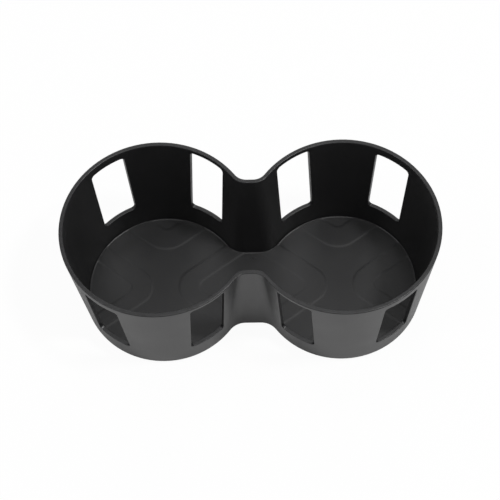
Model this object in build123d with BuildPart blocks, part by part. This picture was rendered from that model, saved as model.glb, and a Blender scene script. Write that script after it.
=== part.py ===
"""Double cup holder insert for a car console, moulded in one piece.

Two round tapered cups stand side by side and open into each other through a neck.
Each cup has four windows in its wall and raised chevrons on its floor.
The frame: +Z up, the underside on Z = 0, the cups side by side along X.
"""
import os
from math import asin, cos, radians, sin, tan

from build123d import *

# Cups and neck, millimetres and degrees
rim_diameter = 92.0  # one cup across its rim, outside
height = 68.0
cup_draft = 4.6  # slope of the cup walls off the vertical
neck_width = 49.6  # across the neck at the rim, outside
neck_draft = 3.6  # slope of the neck walls off the vertical
neck_straight = 3.0  # straight run of the neck wall at the rim, between its corners
neck_corner = 7.0  # hollow radius at the rim where the neck runs into a cup, outside

# Wall section
wall = 2.0
floor_thickness = 2.0
floor_bevel = 0.9  # inside, from the wall to the floor
base_bevel = 1.5  # outside, from the wall to the underside
rim_bevel_inside = 0.6
rim_bevel_outside = 0.3

# Windows, two on each side of a cup
window_width = 18.5
window_corner = 2.0
window_sill = 16.5  # from the underside up to the sill
end_window_header = 5.0  # from the rim down to the window, at the far ends
neck_window_header = 2.5  # the same beside the neck
end_window_angle = 55.0  # from the line through both cups, at the far ends
neck_window_angle = 57.5  # the same beside the neck

# Raised chevrons on the floor, their points towards the cup's axis
chevron_height = 0.2
chevron_slope = 83.0  # of their flanks, off the vertical
chevron_angle = 36.0  # of their arms, from the line through both cups
side_chevron_width = 11.0
side_chevron_tip = -2.5  # from the cup's axis to the sharp point before rounding
side_chevron_round = 11.5
cross_chevron_width = 13.0
cross_chevron_tip = 16.7
cross_chevron_round = 14.0
chevron_inner_round = 3.0

# Mark left by the moulding gate on the neck's floor
gate_diameter = 2.0
gate_depth = 0.4
gate_offset = 14.5  # from the middle of the neck, towards the back

rim_radius = rim_diameter / 2
corner_angle = asin((neck_width / 2 + neck_corner) / (rim_radius + neck_corner))
cup_offset = neck_straight / 2 + (rim_radius + neck_corner) * cos(corner_angle)


def cup_radius(z):
    """Outside radius of a cup at height z."""
    return rim_radius - (height - z) * tan(radians(cup_draft))


def neck_half_width(z):
    """Half of the neck's outside width at height z."""
    return neck_width / 2 - (height - z) * tan(radians(neck_draft))


def neck_outline(z, inset):
    """The neck at height z, out to both cup axes, its walls moved in by inset.

    Each hollow corner is tangent to the neck's side and touches its cup at the same angle at
    every height, so it meets the cup's wall along a straight line.
    """
    side = neck_half_width(z) - inset
    radius = cup_radius(z) - inset
    corner = (radius * sin(corner_angle) - side) / (1 - sin(corner_angle))
    touch = (cup_offset - radius * cos(corner_angle), radius * sin(corner_angle))
    start = (touch[0] - corner * cos(corner_angle), side)
    with BuildSketch(Plane.XY.offset(z)) as outline:
        with BuildLine():
            Polyline(touch, (cup_offset, 0), (0, 0), (0, side), start)
            TangentArc(start, touch, tangent=(1, 0))
        make_face()
        mirror(about=Plane.XZ)
        mirror(about=Plane.YZ)
    return outline.sketch


def cup_pair(inset, low, low_bevel):
    """Both cups and the neck as one solid from height low to the rim, its walls moved in by inset."""
    with BuildPart() as pair:
        add(neck_outline(low, inset))
        add(neck_outline(height, inset))
        loft(ruled=True)
        with Locations((-cup_offset, 0, low), (cup_offset, 0, low)):
            Cone(
                cup_radius(low) - inset,
                cup_radius(height) - inset,
                height - low,
                align=(Align.CENTER, Align.CENTER, Align.MIN),
            )
        chamfer(pair.faces().sort_by(Axis.Z)[0].edges(), low_bevel)
    return pair.part


def window_planes(angle):
    """Upright planes on the cup axes that face out through the windows at that angle."""
    planes = []
    for side in (-1, 1):
        for turn in (angle, -angle):
            outward = (side * cos(radians(turn)), sin(radians(turn)), 0)
            along = (-outward[1], outward[0], 0)
            planes.append(Plane(origin=(side * cup_offset, 0, 0), x_dir=along, z_dir=outward))
    return planes


def chevron(tip, width, spread, tip_round):
    """Band bent into a V that opens along +X, its sharp outer point at x = tip, arms spread from +X."""
    reach = rim_diameter
    arm = (reach * cos(radians(spread)), reach * sin(radians(spread)))
    inner = tip + width / sin(radians(spread))
    with BuildSketch() as band:
        with BuildLine():
            outer_edge = FilletPolyline(
                (tip + arm[0], arm[1]), (tip, 0), (tip + arm[0], -arm[1]), radius=tip_round
            )
            inner_edge = FilletPolyline(
                (inner + arm[0], arm[1]), (inner, 0), (inner + arm[0], -arm[1]), radius=chevron_inner_round
            )
            Line(outer_edge @ 0, inner_edge @ 0)
            Line(outer_edge @ 1, inner_edge @ 1)
        make_face()
    return band.sketch


side_chevron = chevron(side_chevron_tip, side_chevron_width, chevron_angle, side_chevron_round)
cross_chevron = chevron(cross_chevron_tip, cross_chevron_width, 90 - chevron_angle, cross_chevron_round)

with BuildPart() as insert:
    add(cup_pair(0, 0, base_bevel))
    add(cup_pair(wall, floor_thickness, floor_bevel), mode=Mode.SUBTRACT)

    # Rim, eased more on the inside
    rim = insert.faces().sort_by(Axis.Z)[-1]
    chamfer(rim.outer_wire().edges(), rim_bevel_outside)
    rim = insert.faces().filter_by(Axis.Z).sort_by(Axis.Z)[-1]
    chamfer(rim.inner_wires()[0].edges(), rim_bevel_inside)

    # Windows
    for angle, header in (
        (end_window_angle, end_window_header),
        (180 - neck_window_angle, neck_window_header),
    ):
        with BuildSketch(*window_planes(angle)):
            with Locations((0, (window_sill + height - header) / 2)):
                RectangleRounded(window_width, height - header - window_sill, window_corner)
        extrude(amount=rim_radius + wall, mode=Mode.SUBTRACT)

    # Chevrons, their arms run into the wall
    with BuildPart() as relief:
        with BuildSketch(Plane.XY.offset(floor_thickness)):
            with Locations((cup_offset, 0)):
                add(side_chevron)
                add(side_chevron, rotation=180)
                add(cross_chevron, rotation=90)
                add(cross_chevron, rotation=-90)
        extrude(amount=chevron_height, taper=chevron_slope)
        split(bisect_by=Plane.YZ)
        add(cup_pair(wall / 2, floor_thickness, floor_bevel), mode=Mode.INTERSECT)
        mirror(about=Plane.YZ)
    add(relief.part)

    # Gate mark
    with Locations((0, gate_offset, floor_thickness)):
        Hole(gate_diameter / 2, gate_depth)

insert.part.label = "cup_holder_insert"
os.makedirs("parts", exist_ok=True)
export_step(insert.part, "parts/cup_holder_insert.step")
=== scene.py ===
"""Visual model of a double cup holder insert: one satin black moulding on a white studio floor."""
from math import asin, atan2, cos, hypot, pi, radians, sin, sqrt, tan

import bpy
from mathutils import Matrix, Vector


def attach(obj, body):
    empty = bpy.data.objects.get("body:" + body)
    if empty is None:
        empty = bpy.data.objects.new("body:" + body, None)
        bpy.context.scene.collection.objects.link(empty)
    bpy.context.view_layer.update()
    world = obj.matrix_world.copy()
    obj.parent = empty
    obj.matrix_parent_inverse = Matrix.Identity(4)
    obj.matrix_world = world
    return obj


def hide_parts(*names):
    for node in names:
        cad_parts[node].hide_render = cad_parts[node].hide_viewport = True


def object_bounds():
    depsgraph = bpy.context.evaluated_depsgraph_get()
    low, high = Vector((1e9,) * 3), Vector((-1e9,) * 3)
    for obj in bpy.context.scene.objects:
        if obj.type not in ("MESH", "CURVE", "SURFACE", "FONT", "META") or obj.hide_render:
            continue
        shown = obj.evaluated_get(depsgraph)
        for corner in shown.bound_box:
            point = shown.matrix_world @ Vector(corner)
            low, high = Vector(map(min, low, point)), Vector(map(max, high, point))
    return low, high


bl_info = {
    "name": "Cup holder insert",
    "version": (1, 0, 0),
    "blender": (4, 5, 0),
    "location": "3D View > Sidebar > Cup holder",
    "description": "Builds a double cup holder insert and a studio stage around it",
    "category": "Add Mesh",
}

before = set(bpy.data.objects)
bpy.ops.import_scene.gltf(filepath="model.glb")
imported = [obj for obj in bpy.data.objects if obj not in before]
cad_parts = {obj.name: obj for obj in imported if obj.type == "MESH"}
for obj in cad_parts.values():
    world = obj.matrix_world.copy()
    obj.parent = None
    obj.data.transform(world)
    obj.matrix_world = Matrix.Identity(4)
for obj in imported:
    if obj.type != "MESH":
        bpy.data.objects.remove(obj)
CAD_LOW, CAD_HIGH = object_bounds()
MM = 0.001
WELD = 0.005 * MM  # points nearer than this are one
SHARP = radians(40)  # an edge that turns more than this is a corner
RIM_WEAR_AND_HIGHLIGHT = 0.5 * MM  # how far down the rim the rubbed wear and its painted highlight reach
FLOOR_REACH = 3.0  # from the insert to the edges of the studio floor
FLOOR_GAP = 0.2 * MM  # keeps the studio floor clear of the underside
NEAR_CLIP = 10 * MM  # nearest that the camera sees


# Settings


def length(name, millimetres, description):
    """A size, given in millimetres and kept in metres."""
    return bpy.props.FloatProperty(
        name=name, description=description, default=millimetres * MM, subtype="DISTANCE", precision=5
    )


def angle(name, degrees, description):
    """An angle, given in degrees."""
    return bpy.props.FloatProperty(
        name=name, description=description, default=radians(degrees), subtype="ANGLE"
    )


def amount(name, default, description, subtype="NONE"):
    """A plain number or share."""
    return bpy.props.FloatProperty(
        name=name, description=description, default=default, subtype=subtype, precision=4
    )


def colour(name, default, description):
    """A colour in linear light."""
    return bpy.props.FloatVectorProperty(
        name=name, description=description, default=default, size=3, min=0, max=1, subtype="COLOR"
    )


class CupHolderShape(bpy.types.PropertyGroup):
    """Sizes of the moulding."""

    rim_diameter: length("Rim diameter", (CAD_HIGH.y - CAD_LOW.y) / MM, "One cup across its rim, outside")
    height: length("Height", CAD_HIGH.z / MM, "From the underside to the rim")
    cup_draft: angle("Cup draft", 4.6, "Slope of the cup walls off the vertical")
    neck_width: length("Neck width", 49.6, "Across the neck at the rim, outside")
    neck_draft: angle("Neck draft", 3.6, "Slope of the neck walls off the vertical")
    neck_straight: length("Neck straight", 3.0, "Straight run of the neck's wall at the rim")
    neck_corner: length("Neck corner", 7.0, "Hollow radius at the rim where the neck runs into a cup")
    wall: length("Wall", 2.0, "Thickness of the walls")
    floor_thickness: length("Floor", 2.0, "Thickness of the floor")
    floor_round: length("Floor round", 0.8, "Inside, from the wall to the floor")
    base_round: length("Base round", 2.5, "Outside, from the wall to the underside")
    rim_round_inside: length("Rim round, inside", 0.4, "Rounding of the rim's inner edge")
    rim_round_outside: length("Rim round, outside", 0.5, "Rounding of the rim's outer edge")
    window_width: length("Window width", 18.5, "Across a window")
    window_corner: length("Window corner", 2.0, "Radius of a window's corners")
    window_sill: length("Window sill", 16.5, "From the underside up to the sill")
    window_edge: length("Window edge", 0.3, "Rounding of a window's edges")
    end_window_header: length("End window header", 5.0, "From the rim down to the windows at the far ends")
    neck_window_header: length("Neck window header", 2.5, "From the rim down to the windows beside the neck")
    end_window_angle: angle("End window angle", 55.0, "From the line through both cups, at the far ends")
    neck_window_angle: angle("Neck window angle", 57.5, "From the line through both cups, beside the neck")
    chevron_height: length("Chevron height", 0.12, "Rise of the chevrons above the floor")
    chevron_flank: length("Chevron flank", 2.2, "Width of a chevron's soft flank")
    chevron_angle: angle("Chevron angle", 36.0, "Of the chevrons' arms, from the line through both cups")
    chevron_inner_round: length("Chevron inner round", 3.0, "Radius of the inner bend")
    side_chevron_width: length("Side chevron width", 11.0, "Across an arm of a side chevron")
    side_chevron_tip: length("Side chevron tip", -2.5, "From the cup's axis to the point before rounding")
    side_chevron_round: length("Side chevron round", 11.5, "Radius of the side chevron's point")
    cross_chevron_width: length("Cross chevron width", 13.0, "Across an arm of a cross chevron")
    cross_chevron_tip: length("Cross chevron tip", 16.7, "From the cup's axis to the point before rounding")
    cross_chevron_round: length("Cross chevron round", 14.0, "Radius of the cross chevron's point")
    gate_diameter: length("Gate diameter", 2.0, "Mark left by the moulding gate")
    gate_depth: length("Gate depth", 0.4, "Depth of the gate mark")
    gate_offset: length("Gate offset", 14.5, "From the middle of the neck to the gate mark")


class CupHolderFinish(bpy.types.PropertyGroup):
    """Look of the moulding."""

    plastic: colour("Plastic", (0.0082, 0.0082, 0.0088), "Colour of the plastic")
    bloom: colour("Bloom", (0.0104, 0.0104, 0.011), "Colour of its paler patches")
    # Lighter colour on the window edges and the rim top: rubbed wear, and a painted highlight along those
    # edges.
    rubbed: colour("Rubbed", (0.017, 0.017, 0.018), "Colour of rubbed edges, lighter as a painted highlight")
    roughness: amount("Roughness", 0.42, "Roughness of the satin skin", "FACTOR")
    mottle: amount("Mottle", 0.03, "How far the roughness wanders", "FACTOR")
    rubbed_roughness: amount("Rubbed roughness", 0.36, "Roughness where hands rub the edges", "FACTOR")
    patch_size: length("Patch size", 14.0, "Width of a patch of the uneven skin")
    grain_size: length("Grain size", 0.45, "Width of one grain of the skin")
    grain_depth: length("Grain depth", 0.012, "Depth of the grain")


class CupHolderStage(bpy.types.PropertyGroup):
    """Camera, light and floor."""

    azimuth: angle("Azimuth", 2.136, "Camera's turn around the insert")
    elevation: angle("Elevation", 63.756, "Camera's height angle")
    roll: angle("Roll", -2.7925, "Camera's turn around its own view")
    distance: length("Distance", 801.1, "From the aim to the camera")
    aim_x: length("Aim across", -1.336, "Point that the camera looks at, across")
    aim_y: length("Aim back", 20.848, "Point that the camera looks at, towards the back")
    lens: amount("Lens", 112.616, "Focal length in millimetres")
    dome: amount("Dome", 0.2, "Strength of the even light from all round")
    key_azimuth: angle("Key azimuth", 78.0, "The key lamp's turn around the insert")
    key_elevation: angle("Key elevation", 66.0, "The key lamp's height angle")
    key_size: length("Key size", 170.0, "Width of the key lamp")
    key_power: amount("Key power", 11.2, "Power of the key lamp", "POWER")
    fill_azimuth: angle("Fill azimuth", -73.0, "The fill lamp's turn around the insert")
    fill_elevation: angle("Fill elevation", 58.0, "The fill lamp's height angle")
    fill_size: length("Fill size", 500.0, "Width of the fill lamp")
    fill_power: amount("Fill power", 4.2, "Power of the fill lamp", "POWER")
    backdrop_elevation: angle("Backdrop elevation", 38.0, "Height angle of the lit backdrop")
    backdrop_size: length("Backdrop size", 900.0, "Width of the lit backdrop")
    backdrop_power: amount("Backdrop power", 4.6, "Power of the lit backdrop", "POWER")
    overhead_elevation: angle("Overhead elevation", 76.0, "Height angle of the soft overhead lamp")
    overhead_size: length("Overhead size", 500.0, "Width of the overhead lamp")
    overhead_power: amount("Overhead power", 1.05, "Power of the overhead lamp", "POWER")
    front_elevation: angle("Front elevation", 75.0, "Height angle of the lamp above the camera")
    front_size: length("Front size", 400.0, "Width of the front lamp")
    front_power: amount("Front power", 1.7, "Power of the front lamp", "POWER")
    lamp_distance: length("Lamp distance", 1500.0, "From the insert to the lamps")
    floor_paint: colour("Floor paint", (0.9, 0.9, 0.9), "Colour of the studio floor")
    floor_white: amount("Floor white", 0.95, "How far the camera sees the floor as plain white", "FACTOR")
    floor_glow: amount("Floor glow", 0.2, "The same for reflections of the floor", "FACTOR")


# Plan and section of the tub


def corner_angle(shape):
    """Angle, seen from a cup's axis, at which the neck's hollow corner meets the cup."""
    return asin((shape.neck_width / 2 + shape.neck_corner) / (shape.rim_diameter / 2 + shape.neck_corner))


def cup_offset(shape):
    """From the middle of the neck to a cup's axis."""
    return shape.neck_straight / 2 + (shape.rim_diameter / 2 + shape.neck_corner) * cos(corner_angle(shape))


class TubPlan:
    """Plan of the tub at one height, moved in by an inset: two cups and a neck with hollow corners.

    A corner meets its cup at the same angle at every height and inset.
    """

    def __init__(self, shape, z, inset=0.0):
        self.meet = corner_angle(shape)
        self.offset = cup_offset(shape)
        self.radius = shape.rim_diameter / 2 - (shape.height - z) * tan(shape.cup_draft) - inset
        self.side = shape.neck_width / 2 - (shape.height - z) * tan(shape.neck_draft) - inset
        self.corner = (self.radius * sin(self.meet) - self.side) / (1 - sin(self.meet))
        self.corner_x = self.offset - (self.radius + self.corner) * cos(self.meet)
        self.touch_x = self.offset - self.radius * cos(self.meet)

    def on_neck(self, share):
        """Point and outward direction on the neck's straight side."""
        return (self.corner_x * share, self.side, 0), (0, 1, 0)

    def on_corner(self, turn):
        """Point and outward direction on the hollow corner."""
        x = self.corner_x + self.corner * cos(turn)
        y = self.side + self.corner * (1 + sin(turn))
        return (x, y, 0), (-cos(turn), -sin(turn), 0)

    def on_cup(self, turn):
        """Point and outward direction on the cup."""
        outward = (cos(turn), sin(turn), 0)
        return (self.offset + self.radius * cos(turn), self.radius * sin(turn), 0), outward

    def holds(self, x, y):
        """Whether a point lies inside the plan."""
        x = abs(x)
        y = abs(y)
        if hypot(x - self.offset, y) <= self.radius:
            return True
        if x > self.touch_x:
            return False
        along = max(x - self.corner_x, 0)
        return y <= self.side + self.corner - sqrt(self.corner**2 - along**2)


def spread(start, stop, step):
    """Even steps from start towards stop, without stop itself."""
    count = max(1, round(abs(stop - start) / step))
    return [start + (stop - start) * k / count for k in range(count)]


def wall_loop(shape, z):
    """Points around the outside of the tub at height z, each with its outward direction.

    Seven columns span a window, so that its jambs fall half-way between two columns.
    """
    plan = TubPlan(shape, z)
    jamb = asin(shape.window_width / 2 / (shape.rim_diameter / 2 - shape.wall))
    pitch = jamb / 3.5
    guard = 4 * pitch
    neck_window = pi - shape.neck_window_angle
    end_window = shape.end_window_angle
    stops = [pi - plan.meet]
    for window in (neck_window, end_window):
        stops += [window + guard, window - guard]
    stops.append(0)
    quarter = [plan.on_neck(share) for share in spread(0, 1, 0.5)]
    quarter += [plan.on_corner(turn) for turn in spread(-pi / 2, -plan.meet, radians(5))]
    for start, stop in zip(stops, stops[1:]):
        quarter += [plan.on_cup(turn) for turn in spread(start, stop, pitch)]
    quarter.append(plan.on_cup(0))

    def mirrored(x, y):
        """The quarter mirrored across or along."""
        return [tuple((point[0] * x, point[1] * y, 0) for point in pair) for pair in quarter]

    return quarter + mirrored(1, -1)[-2::-1] + mirrored(-1, -1)[1:] + mirrored(-1, 1)[-2:0:-1]


def arc(centre, radius, start, stop, steps=8):
    """Points along an arc, both ends included."""
    turns = [start + (stop - start) * k / steps for k in range(steps + 1)]
    return [(centre[0] + radius * cos(turn), centre[1] + radius * sin(turn), 0) for turn in turns]


def wall_section(shape):
    """Section of the wall as points (inset, height), from the floor over the rim to the underside.

    Its rows keep clear of the windows' sills and heads.
    """
    top = shape.height
    end_head = top - shape.end_window_header
    neck_head = top - shape.neck_window_header
    clear = shape.window_corner
    rows = [shape.window_sill - clear]
    rows += spread(shape.window_sill + clear, end_head - clear / 2, 8 * MM)
    rows += [end_head - clear / 2, (end_head + neck_head) / 2]
    floor_round = shape.floor_round
    base_round = shape.base_round
    inside = shape.rim_round_inside
    outside = shape.rim_round_outside
    points = arc((shape.wall + floor_round, shape.floor_thickness + floor_round), floor_round, -pi / 2, -pi)
    points += [(shape.wall, z, 0) for z in rows]
    points += arc((shape.wall - inside, top - inside), inside, 0, pi / 2)
    points += arc((outside, top - outside), outside, pi / 2, pi, 5)
    points += [(0, z, 0) for z in reversed(rows)]
    points += arc((base_round, base_round), base_round, pi, 1.5 * pi)
    return points


# Chevrons of the floor


def round_corners(corners):
    """Closed loop through corners (x, y, radius), each rounded by its radius."""
    loop = []
    for before, corner, after in zip(corners[-1:] + corners[:-1], corners, corners[1:] + corners[:1]):
        x, y, radius = corner
        point = Vector((x, y))
        if not radius:
            loop.append((x, y, 0))
            continue
        back = (Vector(before[:2]) - point).normalized()
        ahead = (Vector(after[:2]) - point).normalized()
        half = back.angle(ahead) / 2
        centre = point + (back + ahead).normalized() * (radius / sin(half))
        first = point + back * (radius / tan(half)) - centre
        start = atan2(first.y, first.x)
        turn = pi - 2 * half
        if back.cross(ahead) > 0:
            turn = -turn
        loop += arc(centre, radius, start, start + turn)
    return loop


def chevron(shape, tip, width, opening, tip_round, turn):
    """Outline of a chevron around a cup's axis: a bent band that points at the axis.

    It is drawn open along +X, then turned. Its arms run into the wall.
    """
    heel = tip + width / sin(opening)
    swing = Matrix.Rotation(turn, 2)

    def reach(start, side, inset):
        """Where a line along the arm from (start, 0) passes that inset of the wall, found by halving."""
        plan = TubPlan(shape, shape.floor_thickness, inset)
        arm = Vector((cos(opening), side * sin(opening)))
        near = 0.0
        far = shape.rim_diameter
        for _ in range(40):
            middle = (near + far) / 2
            x, y = swing @ (Vector((start, 0)) + arm * middle)
            if plan.holds(x + plan.offset, y):
                near = middle
            else:
                far = middle
        return (*(Vector((start, 0)) + arm * near), 0)

    def arm_end(side):
        """Corners at the end of an arm, from its outer to its inner edge, hidden in the wall.

        A point on each edge, ahead of the wall, keeps the flanks straight up to there.
        """
        face = shape.wall + shape.chevron_flank * 0.75
        deep = shape.wall * 0.4
        stops = ((tip, face), (tip, deep), ((tip + heel) / 2, deep), (heel, deep), (heel, face))
        return [reach(start, side, inset) for start, inset in stops]

    corners = [(tip, 0, tip_round)] + arm_end(1) + [(heel, 0, shape.chevron_inner_round)] + arm_end(-1)[::-1]
    return [(*(swing @ Vector((x, y))), 0) for x, y, _ in round_corners(corners)]


def cup_chevrons(shape):
    """The four chevron outlines of one cup."""
    side = (shape.side_chevron_tip, shape.side_chevron_width, shape.chevron_angle, shape.side_chevron_round)
    cross = (
        shape.cross_chevron_tip,
        shape.cross_chevron_width,
        pi / 2 - shape.chevron_angle,
        shape.cross_chevron_round,
    )
    return [
        chevron(shape, *side, 0),
        chevron(shape, *side, pi),
        chevron(shape, *cross, pi / 2),
        chevron(shape, *cross, -pi / 2),
    ]


# Node trees


class NodePen:
    """Adds nodes to a tree. Each call sets or links the new node's inputs and gives one output back."""

    def __init__(self, tree):
        self.tree = tree

    def __call__(self, kind, inputs=None, output=0, **settings):
        node = self.tree.nodes.new(kind)
        node.location.x = 200 * len(self.tree.nodes)
        for name, value in settings.items():
            setattr(node, name, value)
        for key, value in (inputs or {}).items():
            for item in value if isinstance(value, list) else [value]:
                if isinstance(item, bpy.types.NodeSocket):
                    self.tree.links.new(item, node.inputs[key])
                else:
                    node.inputs[key].default_value = item
        return node.outputs[output] if node.outputs else node


TUB_INPUTS = {
    "Rim plan": "Object",
    "Base plan": "Object",
    "Wall section": "Object",
    "Chevrons": "Object",
    "Material": "Material",
    "Height": "Float",
    "Cup offset": "Float",
    "Floor thickness": "Float",
    "Chevron height": "Float",
    "Chevron flank": "Float",
    "Window width": "Float",
    "Window corner": "Float",
    "Window sill": "Float",
    "End window head": "Float",
    "Neck window head": "Float",
    "End window angle": "Float",
    "Neck window angle": "Float",
    "Window reach": "Float",
    "Gate radius": "Float",
    "Gate depth": "Float",
    "Gate offset": "Float",
}


class TubTree(NodePen):
    """Node tree that sweeps the tub, raises its chevrons and cuts its windows."""

    def __init__(self):
        super().__init__(bpy.data.node_groups.new("Cup holder tub", "GeometryNodeTree"))
        for name, kind in TUB_INPUTS.items():
            self.tree.interface.new_socket(name, in_out="INPUT", socket_type="NodeSocket" + kind)
        self.tree.interface.new_socket("Geometry", in_out="OUTPUT", socket_type="NodeSocketGeometry")
        self.given = self.tree.nodes.new("NodeGroupInput").outputs
        self.place = self("GeometryNodeInputPosition")
        self.index = self("GeometryNodeInputIndex")
        wall = self.wall()
        tub = self.weld(wall, self.floor(wall), self.underside(wall))
        self.finish(self.cut(self.united(tub, self.chevrons())))

    def math(self, operation, *values):
        """A sum on numbers."""
        return self("ShaderNodeMath", dict(enumerate(values)), operation=operation)

    def whole(self, operation, *values):
        """A sum on whole numbers."""
        return self("FunctionNodeIntegerMath", dict(enumerate(values)), operation=operation)

    def vector(self, x=0.0, y=0.0, z=0.0):
        """A vector from its parts."""
        return self("ShaderNodeCombineXYZ", {"X": x, "Y": y, "Z": z})

    def sum(self, *vectors):
        """Vectors added up."""
        total = vectors[0]
        for item in vectors[1:]:
            total = self("ShaderNodeVectorMath", {0: total, 1: item}, operation="ADD")
        return total

    def scaled(self, vector, factor):
        """A vector times a number."""
        return self("ShaderNodeVectorMath", {0: vector, "Scale": factor}, operation="SCALE")

    def part(self, vector, axis):
        """One part of a vector."""
        return self("ShaderNodeSeparateXYZ", {"Vector": vector}, output=axis)

    def is_more(self, value, limit):
        """Whether a number is above a limit."""
        return self("FunctionNodeCompare", {0: value, 1: limit}, operation="GREATER_THAN")

    def both(self, first, second):
        """Whether two conditions hold together."""
        return self("FunctionNodeBooleanMath", {0: first, 1: second}, operation="AND")

    def joined(self, *parts):
        """Geometry put together."""
        return self("GeometryNodeJoinGeometry", {"Geometry": list(parts)})

    def moved(self, geometry, place, turn=(0, 0, 0)):
        """Geometry moved and turned."""
        return self("GeometryNodeTransform", {"Geometry": geometry, "Translation": place, "Rotation": turn})

    def weld(self, *parts):
        """Geometry put together and welded where it meets."""
        return self("GeometryNodeMergeByDistance", {"Geometry": self.joined(*parts), "Distance": WELD})

    def filled(self, curve):
        """Flat face inside curves."""
        return self("GeometryNodeFillCurve", {"Curve": curve})

    def drawn(self, name):
        """Wire given to the tree."""
        return self("GeometryNodeObjectInfo", {"Object": self.given[name]}, output="Geometry")

    def count(self, wire):
        """Number of points of a wire."""
        return self("GeometryNodeAttributeDomainSize", {"Geometry": wire}, output="Point Count")

    def at(self, wire, value, number):
        """Value at one point of a wire."""
        inputs = {"Geometry": wire, "Value": value, "Index": number}
        return self("GeometryNodeSampleIndex", inputs, data_type="FLOAT_VECTOR")

    def upright(self, curve):
        """Curve whose normals stay level, so that a profile along it stands upright."""
        return self("GeometryNodeSetCurveNormal", {"Curve": curve}, mode="Z_UP")

    def on_both_cups(self, geometry):
        """What stands around one cup's axis, at both cups, turned half round at the second."""
        offset = self.given["Cup offset"]
        line = {
            "Count": 2,
            "Start Location": self.vector(x=offset),
            "Offset": self.vector(x=self.math("MULTIPLY", offset, -2.0)),
        }
        half_turn = self.vector(z=self.math("MULTIPLY", self.index, pi))
        inputs = {
            "Points": self("GeometryNodeMeshLine", line),
            "Instance": geometry,
            "Rotation": self("FunctionNodeEulerToRotation", {0: half_turn}),
        }
        pair = self("GeometryNodeInstanceOnPoints", inputs)
        return self("GeometryNodeRealizeInstances", {"Geometry": pair})

    def open_ring(self, mesh, low, high):
        """Open edges of a mesh between two heights, as closed curves."""
        faces = self("GeometryNodeInputMeshEdgeNeighbors")
        is_open = self("FunctionNodeCompare", {2: faces, 3: 1}, data_type="INT", operation="EQUAL")
        z = self.part(self.place, "Z")
        chosen = self.both(is_open, self.both(self.is_more(z, low), self.is_more(high, z)))
        return self("GeometryNodeMeshToCurve", {"Mesh": mesh, "Selection": chosen})

    def wall(self):
        """Walls, rim and rounds: a column for each point of the plan, a row for each point of the section.

        A point leans between the base plan and the rim plan by its height, and moves in by its inset.
        """
        rim = self.drawn("Rim plan")
        base = self.drawn("Base plan")
        section = self.drawn("Wall section")
        columns = self.count(rim)
        rows = self.count(section)
        sizes = {"Vertices X": self.whole("ADD", columns, 1), "Vertices Y": rows}
        column = self.whole("MODULO", self.whole("DIVIDE_FLOOR", self.index, rows), columns)
        mark = self.at(section, self.place, self.whole("MODULO", self.index, rows))
        inset = self.part(mark, "X")
        z = self.part(mark, "Y")
        foot = self.at(base, self.place, column)
        head = self.at(rim, self.place, column)
        lean = self("ShaderNodeVectorMath", {0: head, 1: foot}, operation="SUBTRACT")
        outward = self("GeometryNodeInputNamedAttribute", {"Name": "outward"}, data_type="FLOAT_VECTOR")
        skin = self.sum(
            foot,
            self.scaled(lean, self.math("DIVIDE", z, self.given["Height"])),
            self.scaled(self.at(rim, outward, column), self.math("MULTIPLY", inset, -1.0)),
            self.vector(z=z),
        )
        sheet = self("GeometryNodeMeshGrid", sizes)
        return self.weld(self("GeometryNodeSetPosition", {"Geometry": sheet, "Position": skin}))

    def floor(self, wall):
        """Flat floor."""
        thickness = self.given["Floor thickness"]
        ring = self.open_ring(wall, self.math("MULTIPLY", thickness, 0.5), 1.0)
        return self.moved(self.filled(ring), self.vector(z=thickness))

    def chevrons(self):
        """Chevrons with soft flanks, their feet sunk into the floor."""
        height = self.given["Chevron height"]
        flank = self.given["Chevron flank"]
        thickness = self.given["Floor thickness"]
        sunk = self.math("MULTIPLY", thickness, 0.25)
        outlines = self("GeometryNodeMeshToCurve", {"Mesh": self.on_both_cups(self.drawn("Chevrons"))})
        halfway = self.math("MULTIPLY", flank, 0.5)
        rise = self.math("MULTIPLY", height, -1.0)
        ease = {
            "Resolution": 8,
            "Start": (0, WELD, 0),
            "Start Handle": self.vector(x=halfway, y=WELD),
            "End Handle": self.vector(x=halfway, y=rise),
            "End": self.vector(x=flank, y=rise),
        }
        slope = self("GeometryNodeCurvePrimitiveBezierSegment", ease)
        foot = self("GeometryNodeCurvePrimitiveLine", {"Start": self.vector(y=sunk), "End": (0, WELD, 0)})
        path = self.upright(outlines)
        flanks = []
        for line in (foot, slope):
            flanks.append(self("GeometryNodeCurveToMesh", {"Curve": path, "Profile Curve": line}))
        top_ring = self.open_ring(flanks[1], self.math("MULTIPLY", height, 0.5), 1.0)
        crests = self.moved(self.filled(top_ring), self.vector(z=height))
        soles = self("GeometryNodeFlipFaces", {"Mesh": self.filled(outlines)})
        soles = self.moved(soles, self.vector(z=self.math("MULTIPLY", sunk, -1.0)))
        return self.moved(self.weld(*flanks, crests, soles), self.vector(z=thickness))

    def united(self, *bodies):
        """Closed bodies made one."""
        return self("GeometryNodeMeshBoolean", {"Mesh 2": list(bodies)}, operation="UNION", solver="EXACT")

    def underside(self, wall):
        """Flat underside."""
        ring = self.open_ring(wall, -1.0, self.math("MULTIPLY", self.given["Floor thickness"], 0.5))
        return self("GeometryNodeFlipFaces", {"Mesh": self.filled(ring)})

    def window_blocks(self, head, angles):
        """Blocks that cut the windows below a head, one at each angle around the cup's axis."""
        sill = self.given["Window sill"]
        opening = {"Width": self.given["Window width"], "Height": self.math("SUBTRACT", head, sill)}
        corner = {
            "Curve": self("GeometryNodeCurvePrimitiveQuadrilateral", opening),
            "Count": 8,
            "Radius": self.given["Window corner"],
        }
        way = {"Start": (0, 0, 0), "End": self.vector(x=self.given["Window reach"])}
        sweep = {
            "Curve": self.upright(self("GeometryNodeCurvePrimitiveLine", way)),
            "Profile Curve": self("GeometryNodeFilletCurve", corner, mode="POLY"),
            "Fill Caps": True,
        }
        block = self("GeometryNodeCurveToMesh", sweep)
        middle = self.vector(z=self.math("MULTIPLY", self.math("ADD", head, sill), 0.5))
        return [self.moved(block, middle, self.vector(z=turn)) for turn in angles]

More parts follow.
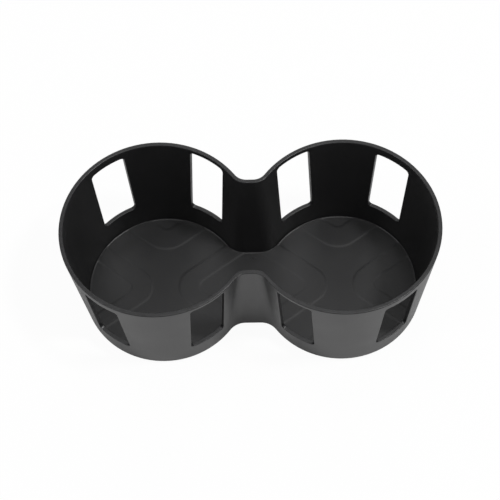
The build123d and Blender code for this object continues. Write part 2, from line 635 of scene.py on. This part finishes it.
    def cut(self, tub):
        """The tub with its windows and the gate mark."""
        end = self.given["End window angle"]
        neck = self.math("SUBTRACT", pi, self.given["Neck window angle"])
        blocks = []
        for head, turn in ((self.given["End window head"], end), (self.given["Neck window head"], neck)):
            blocks += self.window_blocks(head, (turn, self.math("MULTIPLY", turn, -1.0)))
        pin = {
            "Vertices": 32,
            "Radius": self.given["Gate radius"],
            "Depth": self.math("MULTIPLY", self.given["Gate depth"], 2.0),
        }
        gate_place = self.vector(y=self.given["Gate offset"], z=self.given["Floor thickness"])
        gate = self.moved(self("GeometryNodeMeshCylinder", pin), gate_place)
        cutters = [self.on_both_cups(self.joined(*blocks)), gate]
        return self("GeometryNodeMeshBoolean", {"Mesh 1": tub, "Mesh 2": cutters}, solver="EXACT")

    def finish(self, tub):
        """Mark the windows' edges for rounding and the rubbed edges that carry a painted highlight, shade the
        skin smooth and dress it.

        Only the gate mark's edges, the sharp ones near the floor, stay crisp.
        """
        z = self.part(self.place, "Z")
        is_sharp = self.is_more(self("GeometryNodeInputMeshEdgeAngle"), SHARP)
        is_high = self.is_more(z, self.math("MULTIPLY", self.given["Window sill"], 0.5))
        is_window_edge = self.both(is_sharp, is_high)
        weight = {"Geometry": tub, "Name": "bevel_weight_edge", "Value": is_window_edge}
        marked = self("GeometryNodeStoreNamedAttribute", weight, data_type="FLOAT", domain="EDGE")
        # The rim top and the window edges make one mask: rubbed wear in the roughness, and a painted
        # highlight in the colour.
        is_rim = self.is_more(z, self.math("SUBTRACT", self.given["Height"], RIM_WEAR_AND_HIGHLIGHT))
        wear_and_highlight_edges = self("FunctionNodeBooleanMath", {0: is_window_edge, 1: is_rim}, operation="OR")
        rub = {"Geometry": marked, "Name": "rub", "Value": wear_and_highlight_edges}
        touched = self("GeometryNodeStoreNamedAttribute", rub, data_type="FLOAT", domain="POINT")
        smooth = self("GeometryNodeSetShadeSmooth", {"Geometry": touched})
        is_low = self("FunctionNodeBooleanMath", {0: is_high}, operation="NOT")
        crisp = {"Geometry": smooth, "Selection": self.both(is_sharp, is_low), "Shade Smooth": False}
        shaded = self("GeometryNodeSetShadeSmooth", crisp, domain="EDGE")
        real = self("GeometryNodeRealizeInstances", {"Geometry": shaded})
        dressed = self("GeometryNodeSetMaterial", {"Geometry": real, "Material": self.given["Material"]})
        self("NodeGroupOutput", {0: dressed})


# Material


def new_group(name, inputs, outputs):
    """Shader node group with named sockets, a pen that draws in it and its inputs."""
    tree = bpy.data.node_groups.new(name, "ShaderNodeTree")
    for way, sockets in (("INPUT", inputs), ("OUTPUT", outputs)):
        for socket, kind in sockets.items():
            tree.interface.new_socket(socket, in_out=way, socket_type="NodeSocket" + kind)
    pen = NodePen(tree)
    return tree, pen, pen("NodeGroupInput").node.outputs


def grain_group():
    """Fine moulded grain, as a normal: soft pebbles with a finer noise over them."""
    inputs = {"Place": "Vector", "Size": "Float", "Depth": "Float"}
    tree, pen, given = new_group("Moulded grain", inputs, {"Normal": "Vector"})
    scale = pen("ShaderNodeMath", {0: 1.0, 1: given["Size"]}, operation="DIVIDE")
    pebbles = {"Vector": given["Place"], "Scale": scale}
    pebbles = pen("ShaderNodeTexVoronoi", pebbles, output="Distance", feature="SMOOTH_F1")
    dust = pen("ShaderNodeTexNoise", {"Vector": given["Place"], "Scale": scale, "Detail": 3.0})
    height = pen("ShaderNodeMath", {0: dust, 1: pebbles}, operation="SUBTRACT")
    bump = pen("ShaderNodeBump", {"Height": height, "Distance": given["Depth"]})
    pen("NodeGroupOutput", {"Normal": bump})
    return tree


def skin_group():
    """Colour and roughness of the skin: slow patches, and rubbed edges that are smoother and lighter, the
    lighter colour being a painted highlight.
    """
    inputs = {
        "Place": "Vector", "Patch size": "Float", "Plastic": "Color", "Bloom": "Color", "Rubbed": "Color",
        "Roughness": "Float", "Mottle": "Float", "Rubbed roughness": "Float",
    }
    tree, pen, given = new_group("Satin skin", inputs, {"Colour": "Color", "Roughness": "Float"})
    scale = pen("ShaderNodeMath", {0: 1.0, 1: given["Patch size"]}, operation="DIVIDE")
    patches = pen("ShaderNodeTexNoise", {"Vector": given["Place"], "Scale": scale, "Detail": 4.0})
    patches = pen("ShaderNodeMapRange", {"Value": patches, "From Min": 0.3, "From Max": 0.7})
    swing = pen("ShaderNodeMath", {0: patches, 1: 0.5}, operation="SUBTRACT")
    swing = {0: swing, 1: given["Mottle"], 2: given["Roughness"]}
    swing = pen("ShaderNodeMath", swing, operation="MULTIPLY_ADD")
    rub_and_highlight_mask = pen("ShaderNodeAttribute", output="Fac", attribute_name="rub")
    rub_and_highlight_mask = pen("ShaderNodeMapRange", {"Value": rub_and_highlight_mask, "From Min": 0.7}, interpolation_type="SMOOTHSTEP")
    scuff_and_highlight_noise = pen("ShaderNodeMath", {0: scale, 1: 4.0}, operation="MULTIPLY")
    scuff_and_highlight_noise = pen("ShaderNodeTexNoise", {"Vector": given["Place"], "Scale": scuff_and_highlight_noise, "Detail": 6.0})
    scuff_and_highlight_noise = pen("ShaderNodeMapRange", {"Value": scuff_and_highlight_noise, "From Min": 0.35, "From Max": 0.65})
    rub = pen("ShaderNodeMath", {0: rub_and_highlight_mask, 1: scuff_and_highlight_noise}, operation="MULTIPLY")
    tone = {"Factor": patches, 6: given["Plastic"], 7: given["Bloom"]}
    tone = pen("ShaderNodeMix", tone, output=2, data_type="RGBA")
    # Lighter colour along the window edges and the rim: a painted highlight, broken up like rubbed wear.
    tone = pen("ShaderNodeMix", {"Factor": rub, 6: tone, 7: given["Rubbed"]}, output=2, data_type="RGBA")
    rough = pen("ShaderNodeMix", {"Factor": rub, 2: swing, 3: given["Rubbed roughness"]})
    pen("NodeGroupOutput", {"Colour": tone, "Roughness": rough})
    return tree


def plastic():
    """Satin black plastic with a fine moulded grain."""
    finish = bpy.context.scene.cup_holder_finish
    material = bpy.data.materials.new("Satin black plastic")
    material.use_nodes = True
    pen = NodePen(material.node_tree)
    shader = material.node_tree.nodes["Principled BSDF"]
    place = pen("ShaderNodeTexCoord", output="Object")
    grain = {"Place": place, "Size": finish.grain_size, "Depth": finish.grain_depth}
    grain = pen("ShaderNodeGroup", grain, node_tree=grain_group())
    skin = {
        "Place": place,
        "Patch size": finish.patch_size,
        "Plastic": (*finish.plastic, 1),
        "Bloom": (*finish.bloom, 1),
        "Rubbed": (*finish.rubbed, 1),
        "Roughness": finish.roughness,
        "Mottle": finish.mottle,
        "Rubbed roughness": finish.rubbed_roughness,
    }
    skin = pen("ShaderNodeGroup", skin, node_tree=skin_group()).node.outputs
    feeds = {"Base Color": skin["Colour"], "Roughness": skin["Roughness"], "Normal": grain}
    for socket, output in feeds.items():
        material.node_tree.links.new(output, shader.inputs[socket])
    return material


# Operators


def sketch(name, loops, closed=True, outward=None):
    """Wire object for the node tree to follow."""
    points = []
    edges = []
    for loop in loops:
        first = len(points)
        points += loop
        edges += [(k, k + 1) for k in range(first, len(points) - 1)]
        if closed:
            edges.append((len(points) - 1, first))
    mesh = bpy.data.meshes.new(name)
    mesh.from_pydata(points, edges, [])
    if outward:
        directions = mesh.attributes.new("outward", "FLOAT_VECTOR", "POINT").data
        for item, direction in zip(directions, outward):
            item.vector = direction
    wire = bpy.data.objects.new(name, mesh)
    bpy.context.scene.collection.objects.link(wire)
    return wire


class CUPHOLDER_OT_moulding(bpy.types.Operator):
    """Add the moulding with its finish"""

    bl_idname = "cup_holder.moulding"
    bl_label = "Moulding"

    def execute(self, context):
        """Sweep the tub along its plan, soften its edges and dress it."""
        shape = context.scene.cup_holder_shape
        rim = wall_loop(shape, shape.height)
        base = wall_loop(shape, 0)
        wires = {
            "Rim plan": sketch("Rim plan", [[point for point, _ in rim]], outward=[away for _, away in rim]),
            "Base plan": sketch("Base plan", [[point for point, _ in base]]),
            "Wall section": sketch("Wall section", [wall_section(shape)], closed=False),
            "Chevrons": sketch("Chevrons", cup_chevrons(shape)),
        }
        values = {
            **wires,
            "Material": plastic(),
            "Height": shape.height,
            "Cup offset": cup_offset(shape),
            "Floor thickness": shape.floor_thickness,
            "Chevron height": shape.chevron_height,
            "Chevron flank": shape.chevron_flank,
            "Window width": shape.window_width,
            "Window corner": shape.window_corner,
            "Window sill": shape.window_sill,
            "End window head": shape.height - shape.end_window_header,
            "Neck window head": shape.height - shape.neck_window_header,
            "End window angle": shape.end_window_angle,
            "Neck window angle": shape.neck_window_angle,
            "Window reach": shape.rim_diameter / 2 + shape.wall,
            "Gate radius": shape.gate_diameter / 2,
            "Gate depth": shape.gate_depth,
            "Gate offset": shape.gate_offset,
        }
        blank = bpy.data.objects.new("Cup holder blank", bpy.data.meshes.new("Cup holder blank"))
        context.scene.collection.objects.link(blank)
        tub = blank.modifiers.new("Tub", "NODES")
        tub.node_group = TubTree().tree
        for socket in tub.node_group.interface.items_tree:
            if socket.in_out == "INPUT":
                tub[socket.identifier] = values[socket.name]
        edges = blank.modifiers.new("Window edges", "BEVEL")
        edges.limit_method = "WEIGHT"
        edges.width = shape.window_edge
        edges.segments = 3
        edges.use_clamp_overlap = False
        skin = blank.modifiers.new("Even skin", "WEIGHTED_NORMAL")
        skin.mode = "FACE_AREA"
        skin.weight = 100
        skin.keep_sharp = True
        mesh = bpy.data.meshes.new_from_object(blank.evaluated_get(context.evaluated_depsgraph_get()))
        for helper in (blank, *wires.values()):
            bpy.data.objects.remove(helper)
        if not mesh.polygons:
            raise RuntimeError("the tub came out empty")
        mesh.materials.pop(index=0)
        moulding = bpy.data.objects.new("cup_holder_moulding", mesh)
        context.scene.collection.objects.link(moulding)
        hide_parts("cup_holder_insert")
        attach(moulding, "root")
        return {"FINISHED"}


def away(azimuth, elevation):
    """Direction from the insert towards a camera or lamp at these angles."""
    return Vector((sin(azimuth) * cos(elevation), -cos(azimuth) * cos(elevation), sin(elevation)))


def add_camera(stage):
    """Camera at the stage's angles, looking at its aim."""
    back = away(stage.azimuth, stage.elevation)
    right = Vector((cos(stage.azimuth), sin(stage.azimuth), 0))
    up = back.cross(right)
    rolled_right = right * cos(stage.roll) + up * sin(stage.roll)
    rolled_up = up * cos(stage.roll) - right * sin(stage.roll)
    turn = Matrix((rolled_right, rolled_up, back)).transposed().to_4x4()
    aim = Vector((stage.aim_x, stage.aim_y, 0))
    camera = bpy.data.objects.new("Camera", bpy.data.cameras.new("Camera"))
    camera.data.lens = stage.lens
    camera.data.clip_start = NEAR_CLIP
    camera.matrix_world = Matrix.Translation(aim + back * stage.distance) @ turn
    bpy.context.scene.collection.objects.link(camera)
    bpy.context.scene.camera = camera


def seen_white(pen, surface, white, glow):
    """Mix a surface with plain white where the camera, or a reflection or clear body, shows it."""
    path = pen("ShaderNodeLightPath").node.outputs
    direct = pen("ShaderNodeMath", {0: path["Is Camera Ray"], 1: white}, operation="MULTIPLY")
    bounced = {0: path["Is Glossy Ray"], 1: path["Is Transmission Ray"]}
    bounced = pen("ShaderNodeMath", bounced, operation="MAXIMUM")
    bounced = pen("ShaderNodeMath", {0: bounced, 1: glow}, operation="MULTIPLY")
    seen = pen("ShaderNodeMath", {0: direct, 1: bounced}, operation="MAXIMUM")
    return pen("ShaderNodeMixShader", {"Fac": seen, 1: surface, 2: pen("ShaderNodeEmission")})


def add_floor(stage):
    """Studio floor, white to the eye, that keeps the insert's shadow."""
    material = bpy.data.materials.new("Studio floor")
    material.use_nodes = True
    material.node_tree.nodes.clear()
    pen = NodePen(material.node_tree)
    paint = pen("ShaderNodeBsdfDiffuse", {"Color": (*stage.floor_paint, 1)})
    pen("ShaderNodeOutputMaterial", {"Surface": seen_white(pen, paint, stage.floor_white, stage.floor_glow)})
    corners = [(x * FLOOR_REACH, y * FLOOR_REACH, 0) for x, y in ((-1, -1), (1, -1), (1, 1), (-1, 1))]
    mesh = bpy.data.meshes.new("Studio floor")
    mesh.from_pydata(corners, [], [(0, 1, 2, 3)])
    mesh.materials.append(material)
    floor = bpy.data.objects.new("Studio floor", mesh)
    floor.location.z = CAD_LOW.z - FLOOR_GAP
    bpy.context.scene.collection.objects.link(floor)


def add_lamp(name, way, distance, size, power):
    """Square lamp that shines on the insert from one direction."""
    lamp = bpy.data.lights.new(name, "AREA")
    lamp.size = size
    lamp.energy = power
    item = bpy.data.objects.new(name, lamp)
    item.matrix_world = Matrix.Translation(way * distance) @ way.to_track_quat("Z", "Y").to_matrix().to_4x4()
    bpy.context.scene.collection.objects.link(item)


def add_light(stage):
    """Even light from all round, a key on the right, a fill on the left, and three soft lamps.

    The soft ones stand behind the insert, above it and above the camera.
    """
    world = bpy.data.worlds.new("Studio")
    bpy.context.scene.world = world
    world.use_nodes = True
    sky = world.node_tree.nodes["Background"].inputs
    sky["Strength"].default_value = stage.dome
    sky["Color"].default_value = (1, 1, 1, 1)
    front = 0
    back = pi
    turns = {
        "key": stage.key_azimuth,
        "fill": stage.fill_azimuth,
        "backdrop": back,
        "overhead": back,
        "front": front,
    }
    for name, azimuth in turns.items():
        elevation, size, power = (getattr(stage, f"{name}_{part}") for part in ("elevation", "size", "power"))
        add_lamp(name.title(), away(azimuth, elevation), stage.lamp_distance, size, power)


class CUPHOLDER_OT_stage(bpy.types.Operator):
    """Add the studio floor, the light and the camera"""

    bl_idname = "cup_holder.stage"
    bl_label = "Stage"

    def execute(self, context):
        """Set the stage."""
        stage = context.scene.cup_holder_stage
        context.scene.view_settings.view_transform = "Standard"
        add_floor(stage)
        add_light(stage)
        add_camera(stage)
        return {"FINISHED"}


class CUPHOLDER_PT_sidebar(bpy.types.Panel):
    """Sizes, looks and buttons"""

    bl_idname = "CUPHOLDER_PT_sidebar"
    bl_label = "Cup holder insert"
    bl_space_type = "VIEW_3D"
    bl_region_type = "UI"
    bl_category = "Cup holder"

    def draw(self, context):
        """List the settings, with the operators that use them."""
        scene = context.scene
        for settings in (scene.cup_holder_shape, scene.cup_holder_finish, scene.cup_holder_stage):
            box = self.layout.box()
            for name in settings.__annotations__:
                box.prop(settings, name)
        for operator in (CUPHOLDER_OT_moulding, CUPHOLDER_OT_stage):
            self.layout.operator(operator.bl_idname)


SETTINGS = {
    "cup_holder_shape": CupHolderShape,
    "cup_holder_finish": CupHolderFinish,
    "cup_holder_stage": CupHolderStage,
}
CLASSES = (*SETTINGS.values(), CUPHOLDER_OT_moulding, CUPHOLDER_OT_stage, CUPHOLDER_PT_sidebar)


def register():
    """Register the classes and hang their settings on the scene."""
    for cls in CLASSES:
        bpy.utils.register_class(cls)
    for name, settings in SETTINGS.items():
        setattr(bpy.types.Scene, name, bpy.props.PointerProperty(type=settings))


def unregister():
    """Take the settings and classes away again."""
    for name in SETTINGS:
        delattr(bpy.types.Scene, name)
    for cls in reversed(CLASSES):
        bpy.utils.unregister_class(cls)


def main():
    """Build the insert and its stage."""
    register()
    bpy.ops.cup_holder.moulding()
    bpy.ops.cup_holder.stage()


if __name__ == "__main__":
    main()
